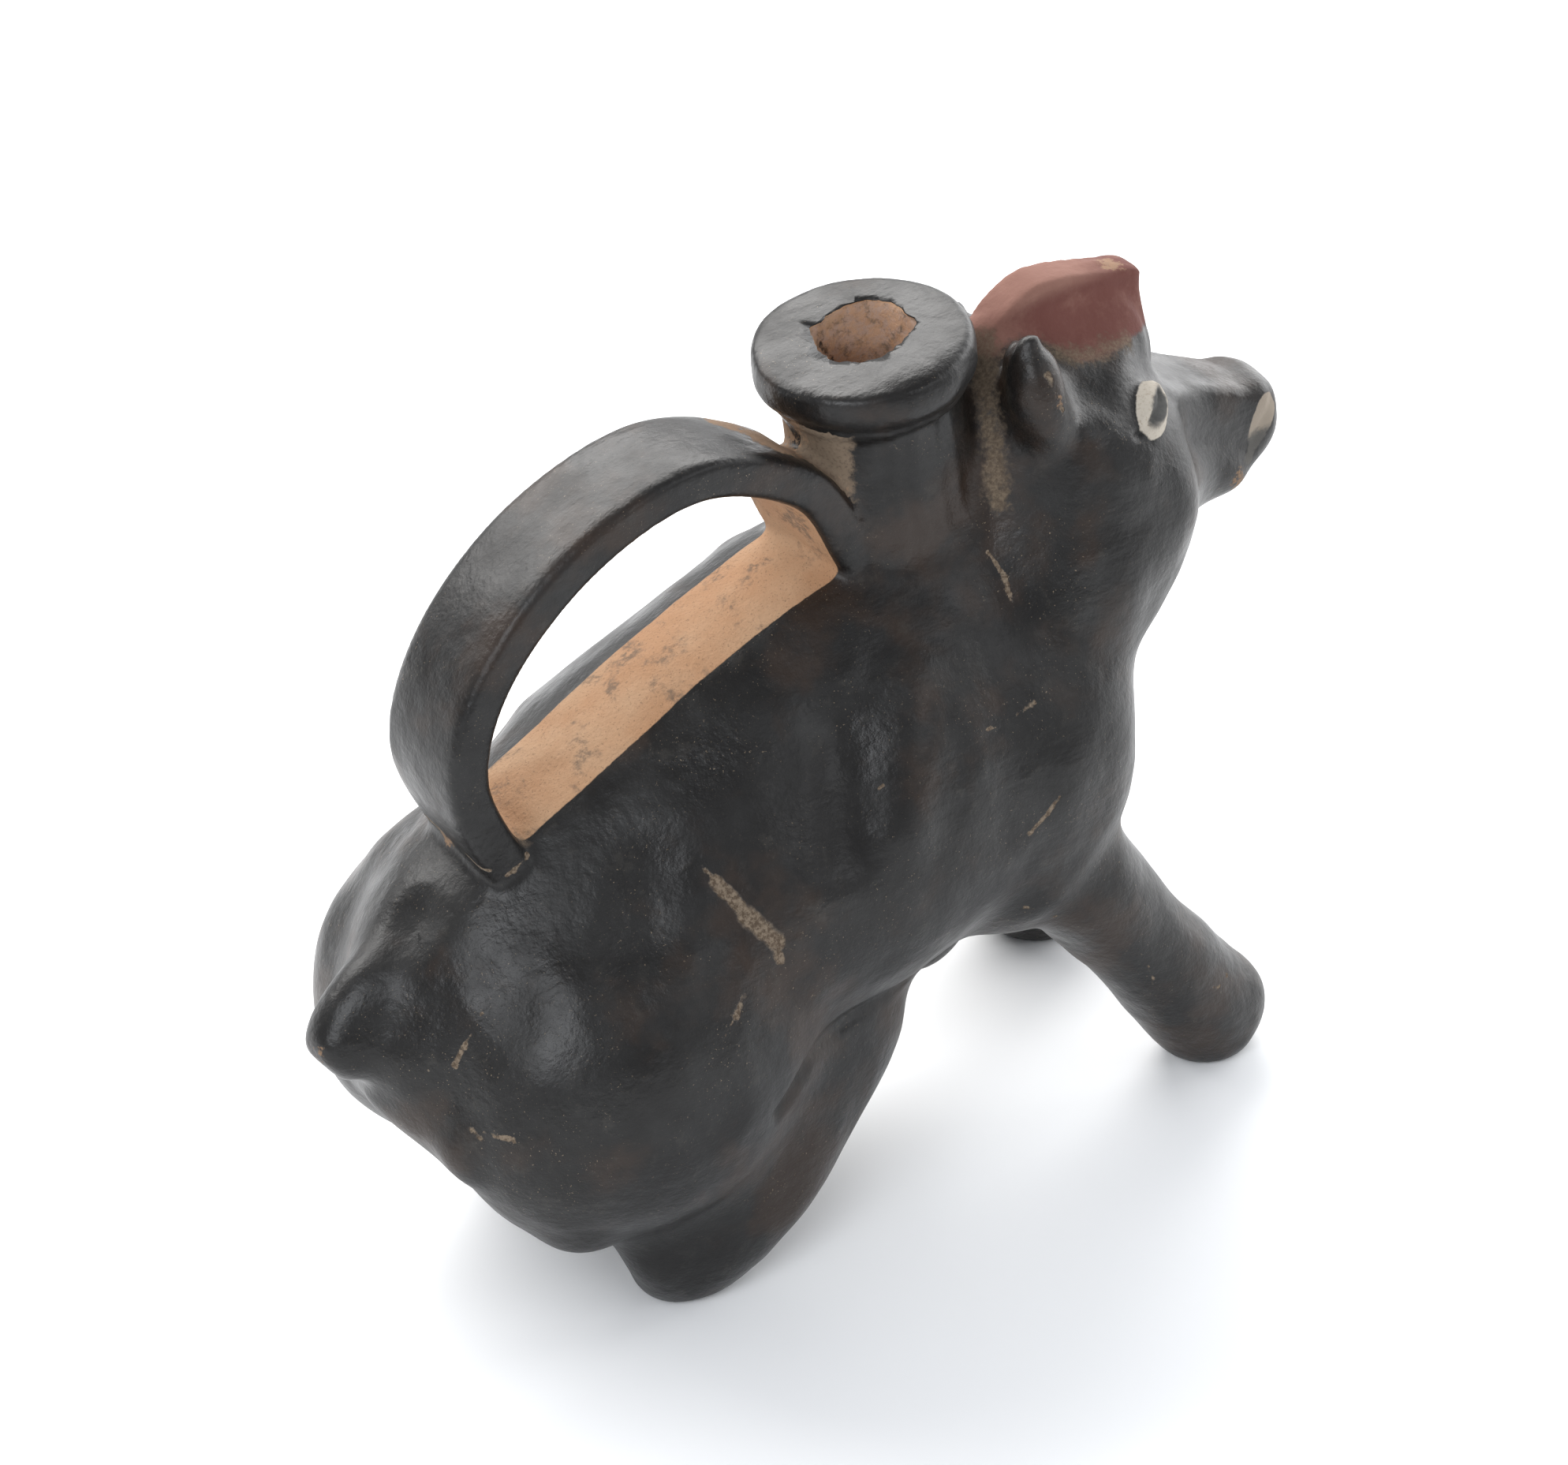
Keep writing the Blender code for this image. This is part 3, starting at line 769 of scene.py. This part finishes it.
# the place shaken a little, so that no stroke of a scratch runs straight
jitter = node("ShaderNodeTexNoise", Vector=place, Scale=0.5, Detail=4.0, Roughness=0.6)
jitter = node("ShaderNodeVectorMath", {"operation": "SUBTRACT"}, _0=jitter.outputs[1], _1=(0.5, 0.5, 0.5))
jitter = node("ShaderNodeVectorMath", {"operation": "SCALE"}, _0=jitter.outputs[0], _3=EDGE_SHAKE)
shaken = node("ShaderNodeVectorMath", {"operation": "ADD"}, _0=place, _1=jitter.outputs[0]).outputs[0]

# each stroke: from, to, half width; the scars are broad enough to have a depth
SCARS = (
    ((-46.5, -30.4, 98.5), (-43.5, -34.5, 93.5), 0.7),
    ((-44.5, -33.5, 95.0), (-41.0, -38.0, 88.0), 1.4),
    ((-41.0, -38.0, 88.0), (-37.0, -40.8, 82.0), 2.1),
    ((-38.5, -39.8, 84.5), (-36.8, -42.0, 78.6), 1.3),
    ((-46.4, -43.0, 75.1), (-49.5, -44.6, 72.8), 1.0),
    ((-97.3, -20.7, 57.7), (-95.8, -26.0, 57.3), 0.55),
    ((-95.8, -26.0, 57.3), (-95.2, -28.0, 56.0), 0.9),
    ((30.9, -23.0, 126.5), (30.6, -26.5, 121.9), 0.55),
    ((21.5, -37.1, 104.6), (27.8, -36.6, 106.3), 0.65),
    ((26.0, -42.2, 84.3), (29.4, -42.1, 88.6), 0.60),
    ((72.0, -38.5, 31.0), (74.3, -37.9, 27.0), 0.55),
    ((68.5, -40.5, 23.4), (70.0, -40.3, 23.0), 0.7),
    ((79.5, -37.5, 14.2), (80.0, -37.3, 13.3), 0.6),
    ((-79.8, 9.5, 101.0), (-82.4, -2.0, 101.8), 1.1),
    ((-82.4, -2.0, 101.8), (-80.5, -12.6, 101.4), 0.6),
    ((42.6, -21.6, 165.4), (43.2, -22.8, 161.5), 0.9),
    ((43.7, -23.2, 159.9), (44.4, -23.8, 158.0), 0.6),
    ((10.2, -17.2, 155.5), (13.5, -17.2, 156.5), 0.8),
)
SCRATCHES = (
    ((-49.5, -44.6, 72.8), (-53.0, -45.8, 70.1), 0.5),
    ((-89.5, -21.5, 78.1), (-93.0, -20.8, 72.6), 0.45),
    ((-93.0, -20.8, 72.6), (-95.4, -20.2, 68.4), 0.65),
    ((-95.8, -26.0, 57.3), (-92.6, -34.0, 57.9), 0.55),
    ((29.9, -19.6, 130.2), (30.9, -23.0, 126.5), 0.45),
    ((15.8, -36.9, 105.1), (21.5, -37.1, 104.6), 0.45),
    ((-9.0, -36.7, 102.4), (5.3, -37.3, 103.8), 0.4),
    ((-3.0, -37.2, 102.6), (4.3, -37.3, 103.4), 0.6),
    ((21.9, -41.9, 81.7), (26.0, -42.2, 84.3), 0.55),
    ((23.5, -38.2, 61.6), (29.4, -38.0, 59.2), 0.5),
    ((34.2, -35.5, 52.5), (34.0, -39.6, 63.3), 0.5),
    ((31.5, -37.0, 55.5), (34.6, -37.2, 56.3), 0.5),
    ((74.3, -37.9, 27.0), (73.0, -38.7, 23.7), 0.45),
    ((52.3, -39.4, 35.4), (55.0, -39.0, 28.0), 0.42),
    ((-77.5, -13.6, 99.2), (-72.0, -12.8, 101.9), 0.5),
    ((13.5, -17.2, 156.5), (17.5, -17.9, 158.2), 0.45),
)
CRACKS = (
    ((-16.7, -37.8, 54.0), (-23.5, -39.8, 53.8), 0.9),
    ((-23.5, -39.8, 53.8), (-29.4, -42.4, 52.7), 1.1),
    ((-29.4, -42.4, 52.7), (-36.0, -45.2, 48.0), 0.6),
    ((-36.0, -45.2, 48.0), (-46.8, -47.0, 44.1), 0.25),
    ((-4.6, -33.9, 49.4), (-8.5, -34.6, 42.0), 0.35),
    ((-9.0, -34.8, 41.0), (-11.0, -35.0, 37.0), 0.5),
    ((-11.0, -35.0, 37.0), (-17.9, -35.6, 24.7), 0.3),
    ((12.5, 9.2, 168.5), (17.4, 9.8, 161.5), 1.0),
)


def stroke_group():
    """A node group: how near a place is to a stroke from one end to the other, one on its line."""
    group = bpy.data.node_groups.new("stroke", "ShaderNodeTree")
    for name in ("Place", "From", "Way"):
        group.interface.new_socket(name, in_out="INPUT", socket_type="NodeSocketVector")
    for name in ("Inverse", "Width"):
        group.interface.new_socket(name, in_out="INPUT", socket_type="NodeSocketFloat")
    group.interface.new_socket("Near", in_out="OUTPUT", socket_type="NodeSocketFloat")
    start, end = group.nodes.new("NodeGroupInput"), group.nodes.new("NodeGroupOutput")

    def vector(operation, *inputs):
        made = group.nodes.new("ShaderNodeVectorMath")
        made.operation = operation
        for socket, value in zip([s for s in made.inputs if s.enabled], inputs):
            group.links.new(value, socket)
        return made

    off = vector("SUBTRACT", start.outputs["Place"], start.outputs["From"]).outputs[0]
    dot = vector("DOT_PRODUCT", off, start.outputs["Way"]).outputs[1]
    share = group.nodes.new("ShaderNodeMath")
    share.operation = "MULTIPLY"
    share.use_clamp = True
    group.links.new(dot, share.inputs[0])
    group.links.new(start.outputs["Inverse"], share.inputs[1])
    foot = group.nodes.new("ShaderNodeVectorMath")
    foot.operation = "SCALE"
    group.links.new(start.outputs["Way"], foot.inputs[0])
    group.links.new(share.outputs[0], foot.inputs[3])
    away = vector("DISTANCE", off, foot.outputs[0]).outputs[1]
    ratio = group.nodes.new("ShaderNodeMath")
    ratio.operation = "DIVIDE"
    group.links.new(away, ratio.inputs[0])
    group.links.new(start.outputs["Width"], ratio.inputs[1])
    near = group.nodes.new("ShaderNodeMapRange")
    near.interpolation_type = "SMOOTHSTEP"
    group.links.new(ratio.outputs[0], near.inputs[0])
    for index, value in ((1, 0.75), (2, 1.15), (3, 1.0), (4, 0.0)):
        near.inputs[index].default_value = value
    group.links.new(near.outputs[0], end.inputs[0])
    return group


stroke = stroke_group()


def strokes(rows):
    """How near a place is to any of the strokes, one on a line and nought away from it."""
    total = None
    for start, end, width in rows:
        way = Vector(end) - Vector(start)
        made = node("ShaderNodeGroup", {"node_tree": stroke}, Place=shaken, From=start, Way=tuple(way),
                    Inverse=1 / way.length_squared, Width=width).outputs[0]
        total = made if total is None else sums("MAXIMUM", total, made)
    return total


# where each finish lies, as shares from nought to one
scarred = strokes(SCARS)
scratched = sums("MAXIMUM", scarred, strokes(SCRATCHES))
cracked = strokes(CRACKS)
ragged = sums("SUBTRACT", clouds(2.2, 5.0, 0.7), 0.5)
crumbs = clouds(0.7, 3.0, 0.6)
bare = ramp(sums("ADD", marked("bare"), sums("MULTIPLY", ragged, 0.5)), -0.12, 0.12)
in_stem = sums("ADD", marked("stem"), sums("MULTIPLY", ragged, 5.0))
stem_bare = sums("MULTIPLY", ramp(in_stem, -0.7, 1.0), ramp(crumbs, 0.25, 0.5, 0.55, 1.0))
painted = ramp(sums("ADD", marked("crest"), sums("MULTIPLY", ragged, 3.5)), -0.5, 0.9)
in_earth = sums("ADD", marked("earth"), sums("MULTIPLY", ragged, 8.0))
earthy = ramp(in_earth, -0.8, 2.0)
dusty = sums("MULTIPLY", ramp(in_earth, -0.6, 2.2), ramp(crumbs, 0.30, 0.75, 0.15, 0.75))
worn = sums("ADD", marked("worn"),
            sums("MULTIPLY", sums("SUBTRACT", clouds(1.6, 5.0, 0.75), 0.56), 11.0))
worn = ramp(worn, -0.6, 0.9)
eye_white = ramp(sums("ADD", marked("eye"), sums("MULTIPLY", ragged, 0.7)), -0.1, 0.2)
eye_grey = ramp(sums("ADD", marked("eye_grey"), sums("MULTIPLY", ragged, 1.2)), -0.3, 0.7)
mouth_pale = ramp(sums("ADD", marked("mouth"), sums("MULTIPLY", ragged, 0.9)), 0.0, 0.3)
forward = node("ShaderNodeSeparateXYZ", Vector=place).outputs[0]
height = node("ShaderNodeSeparateXYZ", Vector=place).outputs[2]

# the slip, the clay under it, the torn wall of the bore, the crest and the mouth
slip_colour = mix(ramp(clouds(16, 4.0, 0.6), 0.40, 0.66), SLIP, SLIP_GREY)
slip_colour = mix(sums("MULTIPLY", ramp(clouds(24, 4.0, 0.6), 0.48, 0.66), 0.75), slip_colour, SLIP_BROWN)
slip_colour = mix(sums("MULTIPLY", ramp(clouds(5, 5.0, 0.7), 0.56, 0.72), 0.22), slip_colour, SLIP_DUST)
specks = sums("MULTIPLY", ramp(clouds(0.45, 2.0), 0.67, 0.74), ramp(clouds(20, 3.0), 0.40, 0.62))
slip_colour = mix(sums("MULTIPLY", specks, 0.75), slip_colour, DUST)
clay_colour = mix(ramp(clouds(16, 4.0), 0.35, 0.7), CLAY, CLAY_PALE)
clay_colour = mix(sums("MULTIPLY", ramp(clouds(0.45, 2.0), 0.58, 0.70), 0.40), clay_colour, EARTH)
smudges = sums("MULTIPLY", ramp(clouds(9, 4.0, 0.65), 0.53, 0.64), ramp(clouds(1.4, 4.0, 0.7), 0.36, 0.60))
clay_colour = mix(sums("MULTIPLY", smudges, 0.62), clay_colour, SLIP_DUST)
torn = sums("MULTIPLY", ramp(marked("deep"), -3.5, -2.0),
            ramp(clouds(1.8, 5.0, 0.7), 0.40, 0.60, 0.35, 1.0))
clay_colour = mix(torn, clay_colour, mix(ramp(ragged, -0.14, 0.02), STEM_CLAY, TORN_CLAY))
far_down = ramp(sums("ADD", marked("deep"), sums("MULTIPLY", ragged, 3.0)), 3.2, 5.2)
clay_colour = mix(far_down, clay_colour, CLAY_DEEP)
red_colour = mix(ramp(clouds(7, 5.0, 0.65), 0.45, 0.85, 0.0, 0.6), CREST_RED, CREST_PALE)
red_colour = mix(sums("MULTIPLY", ramp(height, 167.0, 171.0), 0.6), red_colour, CREST_PALE)
# the crest turns paler towards its back
crest_paler_behind = ramp(sums("ADD", forward, sums("MULTIPLY", ragged, 9.0)), 43.0, 54.0, 0.55, 0.0)
red_colour = mix(crest_paler_behind, red_colour, CREST_PALE)
upper_lip = ramp(sums("ADD", height, sums("MULTIPLY", ragged, 4.0)), 121.5, 124.0)
mouth_colour = mix(upper_lip, MOUTH_GREY, MOUTH_PALE)

# all of them laid over one another, scratches and cracks last
colour = mix(bare, slip_colour, clay_colour)
colour = mix(sums("MULTIPLY", stem_bare, 0.9), colour, mix(crumbs, STEM_CLAY, DUST))
colour = mix(painted, colour, red_colour)
colour = mix(sums("MULTIPLY", earthy, 0.62), colour, EARTH)
colour = mix(sums("MULTIPLY", dusty, 0.8), colour, DUST)
colour = mix(eye_white, colour, mix(sums("MULTIPLY", ramp(crumbs, 0.5, 0.7), 0.4), WHITE, DUST))
colour = mix(sums("MULTIPLY", eye_grey, 0.92), colour, EYE_GREY)
colour = mix(sums("MULTIPLY", mouth_pale, 0.9), colour, mouth_colour)
colour = mix(sums("MULTIPLY", worn, 0.7), colour, mix(crumbs, DUST, CLAY))
scraped = sums("MULTIPLY", scratched, ramp(clouds(1.3, 4.0, 0.7), 0.20, 0.36))
colour = mix(scraped, colour, mix(ramp(clouds(0.8, 4.0, 0.7), 0.38, 0.62), EARTH, mix(crumbs, SCAR, DUST)))
colour = mix(cracked, colour, mix(ramp(crumbs, 0.5, 0.62), CRACK_DARK, EARTH))
tree.links.new(colour, shader.inputs["Base Color"])

# matt where the slip is gone or painted over, burnished elsewhere
matte = bare
for part in (stem_bare, painted, earthy, eye_white, mouth_pale, scraped, worn):
    matte = sums("MAXIMUM", matte, part)
gloss = ramp(clouds(13, 5.0, 0.6), 0.34, 0.68, 0.33, 0.47)
rough = node("ShaderNodeMix", {"data_type": "FLOAT"}, _0=matte, _2=gloss, _3=CLAY_ROUGHNESS).outputs[0]
tree.links.new(rough, shader.inputs["Roughness"])
shader.inputs["IOR"].default_value = SLIP_IOR

# low relief: wiping marks, dimples, grit, and the depth of scars and cracks
wiped = node("ShaderNodeMapping", Vector=place, Rotation=(0.3, 0.9, 0.4), Scale=(0.06, 0.7, 0.7)).outputs[0]
relief = sums("MULTIPLY", clouds(1.0, 3.0, 0.55, wiped), 0.20)
relief = sums("ADD", relief, sums("MULTIPLY", clouds(5, 5.0, 0.55), 1.1))
relief = sums("ADD", relief, sums("MULTIPLY", crumbs, sums("ADD", sums("MULTIPLY", bare, 0.30), 0.14)))
relief = sums("SUBTRACT", relief, sums("MULTIPLY", scarred, 0.4))
relief = sums("SUBTRACT", relief, sums("MULTIPLY", cracked, 0.9))
bump = node("ShaderNodeBump", Strength=0.75, Distance=RELIEF, Height=relief)
tree.links.new(bump.outputs[0], shader.inputs["Normal"])
askos.data.materials.clear()
askos.data.materials.append(slip)
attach(askos, "root")
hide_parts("askos")


# Floor: a pale matt sheet under the vessel, broad enough that the view ends on it.
# It is there to show the vessel and is no part of it.
FLOOR_HALF = 6.0
FLOOR_COLOUR = (0.93, 0.94, 0.95, 1)
FLOOR_ROUGHNESS = 0.9

ground = bmesh.new()
bmesh.ops.create_grid(ground, x_segments=8, y_segments=8, size=FLOOR_HALF)
floor = as_object(ground, "floor")
sheet = bpy.data.materials.new("pale_sheet")
sheet.use_nodes = True
shader = sheet.node_tree.nodes["Principled BSDF"]
shader.inputs["Base Color"].default_value = FLOOR_COLOUR
shader.inputs["Roughness"].default_value = FLOOR_ROUGHNESS
floor.data.materials.append(sheet)


# Light: one long soft lamp behind and above, weaker ones at the right, left and front, and an
# even room. Each lamp is its place, width, height, power and tint.
LAMPS = {
    "lamp_behind": ((0.1, 1.6, 1.5), 3.2, 1.4, 92, (1.0, 0.985, 0.965)),
    "lamp_right": ((1.9, 0.35, 0.65), 2.4, 1.3, 42, (1.0, 1.0, 1.0)),
    "lamp_left": ((-1.5, -0.9, 1.35), 1.2, 1.0, 24, (0.94, 0.965, 1.0)),
    "lamp_front": ((0.9, -1.7, 1.25), 1.3, 0.9, 7, (0.97, 0.98, 1.0)),
}
LIT_POINT = Vector((0, 0, 0.1))
ROOM_COLOUR = (0.94, 0.96, 1.0, 1)
ROOM_STRENGTH = 0.42

for name, (spot, wide, tall, power, tint) in LAMPS.items():
    light = bpy.data.lights.new(name, "AREA")
    light.shape = "RECTANGLE"
    light.size = wide
    light.size_y = tall
    light.energy = power
    light.color = tint
    holder = bpy.data.objects.new(name, light)
    holder.location = spot
    holder.rotation_euler = (LIT_POINT - Vector(spot)).to_track_quat("-Z", "Y").to_euler()
    bpy.context.collection.objects.link(holder)
room = bpy.data.worlds.new("room")
room.use_nodes = True
room.node_tree.nodes["Background"].inputs[0].default_value = ROOM_COLOUR
room.node_tree.nodes["Background"].inputs[1].default_value = ROOM_STRENGTH
bpy.context.scene.world = room
bpy.context.scene.view_settings.view_transform = "Standard"


# Camera: seen from above the right hip, with the photograph's framing.
# The angles are how far round from the animal's right side, how far down, and the roll.
TURN, TIP, ROLL = math.radians(35), math.radians(34), math.radians(-2)
VIEW_WIDTH = math.radians(12)
VIEW_POINT = Vector((-0.00455, 0, 0.0935))
VIEW_DISTANCE = 1.42

ahead = Vector((math.sin(TURN) * math.cos(TIP), math.cos(TURN) * math.cos(TIP), -math.sin(TIP)))
lens = bpy.data.cameras.new("view")
lens.sensor_fit = "HORIZONTAL"
lens.angle = VIEW_WIDTH
camera = bpy.data.objects.new("view", lens)
camera.rotation_mode = "QUATERNION"
camera.rotation_quaternion = ahead.to_track_quat("-Z", "Y") @ Matrix.Rotation(ROLL, 3, "Z").to_quaternion()
camera.location = VIEW_POINT - ahead * VIEW_DISTANCE
bpy.context.collection.objects.link(camera)
bpy.context.scene.camera = camera

bpy.context.view_layer.update()
